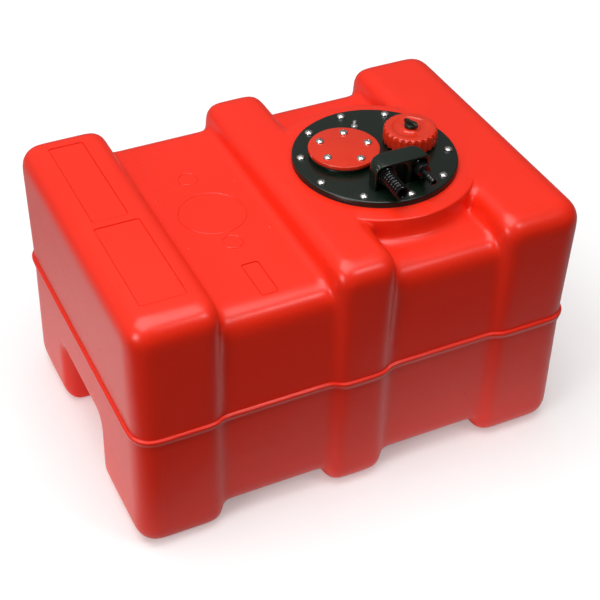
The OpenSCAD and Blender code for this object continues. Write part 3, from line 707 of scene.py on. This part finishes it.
AXIS_Z, POCKET_Y, FITTING_X = 322, -63, 19
spigot_profile = [(5, -7), (6, -7), (6, 0), (8.8, 0), (8.8, 5)]
for z, r in ((5, 11), (8.5, 10), (12, 9)):
    spigot_profile += [(r - 0.3, z), (r, z + 0.3), (r, z + 2.2), (r - 0.3, z + 2.5), (7.4, z + 2.5)]
for z in (14.5, 18.5, 22.5, 28, 32, 36):
    spigot_profile += [(6.0, z), (7.4, z + 0.1), (7.8, z + 0.6), (7.7, z + 1.1), (7.1, z + 1.7)]
    spigot_profile += [(6.0, z + 2.2)]
spigot_profile += [(7.0, 40), (7.2, 40.2), (7.2, 41.6), (6.8, 42), (5.2, 42), (5, 41.8)]
tail_profile = [
    (2.2, -7), (5, -7), (5, 0), (6.9, 0), (7.2, 0.3), (7.2, 6.7), (6.9, 7), (5, 7), (5, 11), (3.9, 11),
    (3.9, 27),
]
for z in (27, 31, 35):
    tail_profile += [(4.1, z), (4.3, z + 0.3), (4.3, z + 1.4), (3.5, z + 3.9)]
tail_profile += [(3.2, 39), (2.4, 39), (2.2, 38.8)]
hexagon = lathe([(3.4, 10.5), (8.5, 10.5), (8.5, 18.5), (3.4, 18.5)], 6, closed=True)
hexagon = soften(hexagon, 0.5, 2, 20)
lie_down = Matrix.Rotation(math.radians(90), 3, "X")
for name, parts, x, node in (
    ("ribbed_vent_spigot", [lathe(spigot_profile, 64, closed=True)], -FITTING_X, "vent_spigot"),
    ("barbed_fuel_tail", [lathe(tail_profile, 48, closed=True), hexagon], FITTING_X, "fuel_tail"),
):
    fitting = join(*parts)
    bmesh.ops.rotate(fitting, matrix=lie_down, verts=fitting.verts)
    move(fitting, (PLATE.x + x, POCKET_Y, AXIS_Z))
    finish_piece(name, fitting, acetal, "tank", replaces=[node])


# Bonding stud: an M4 screw of zinc-plated steel up through the plate, held by a nut, where the sender's
# earth lead is fixed
BOND = Vector((91, 41, 0))
NUT_TOP, PITCH = DECK + 3.2, 0.7
stud_profile = [(0, 299.5), (4, 299.5), (4, GASKET_TOP), (2.2, GASKET_TOP), (2.2, NUT_TOP)]
for i in range(8):
    stud_profile += [(1.95, 310.3 + PITCH * i), (1.7, 310.65 + PITCH * i)]
stud_profile += [(1.7, 315.8), (1.5, 316), (0, 316)]
stud = lathe(stud_profile, 32)
move(stud, BOND)
finish_piece("threaded_stud", stud, zinc, "tank", replaces=["bonding_screw"])
nut = lathe([(2.3, DECK), (4.04, DECK), (4.04, NUT_TOP), (2.3, NUT_TOP)], 6, closed=True)
nut = soften(nut, 0.35, 2, 20)
move(nut, BOND)
finish_piece("hexagon_nut", nut, zinc, "tank", replaces=["bonding_nut"])


# Inserts: knurled brass sleeves moulded into the tank and the plate under the screws; hidden by them

# Turned brass: yellow metal with fine rings from the lathe
brass, tree = new_material("turned_brass")
place = add_node(tree, "TexCoord").outputs["Object"]
rings = add_node(tree, "TexWave", {"Vector": place, "Scale": 800.0, "Distortion": 1.0}, bands_direction="Z")
colour = blend_colours(tree, rings.outputs["Fac"], "#B8923F", "#D9B565")
shader = add_node(tree, "BsdfPrincipled", {"Base Color": colour, "Metallic": 1.0, "Roughness": 0.32})
add_node(tree, "OutputMaterial", {"Surface": shader.outputs[0]})
for name in ("flange_inserts", "sender_inserts"):
    dress(name, brass)


# Pickup: an extruded polyethylene tube that hangs from the fuel outlet, with a woven strainer cup
# on its foot

# Natural polyethylene: milky white, half clear, with streaks along the tube
natural, tree = new_material("extruded_natural_polyethylene")
place = add_node(tree, "TexCoord").outputs["Object"]
drawn_out = add_node(tree, "Mapping", {"Vector": place, "Scale": (1, 1, 0.05)})
streaks = add_node(tree, "TexNoise", {"Vector": drawn_out.outputs[0], "Scale": 500.0})
colour = blend_colours(tree, streaks.outputs["Fac"], "#D9D9D2", "#EDEDE6")
shader = add_node(tree, "BsdfPrincipled", {
    "Base Color": colour, "Roughness": 0.4, "IOR": 1.51, "Subsurface Weight": 0.2,
})
add_node(tree, "OutputMaterial", {"Surface": shader.outputs[0]})
dress("pickup_tube", natural)

# Woven nylon mesh: a fine grey-blue weave
mesh_cloth, tree = new_material("woven_nylon_mesh")
place = add_node(tree, "TexCoord").outputs["Object"]
across = add_node(tree, "TexWave", {"Vector": place, "Scale": 500.0}, bands_direction="X")
along = add_node(tree, "TexWave", {"Vector": place, "Scale": 500.0}, bands_direction="Z")
weave = add_node(tree, "Math", {0: across.outputs["Fac"], 1: along.outputs["Fac"]}, operation="MAXIMUM")
colour = blend_colours(tree, weave.outputs[0], "#3A4650", "#A9B8C2")
shader = add_node(tree, "BsdfPrincipled", {"Base Color": colour, "Roughness": 0.6, "IOR": 1.53})
add_node(tree, "OutputMaterial", {"Surface": shader.outputs[0]})
dress("pickup_strainer", mesh_cloth)
dress("strainer_cap", nylon)
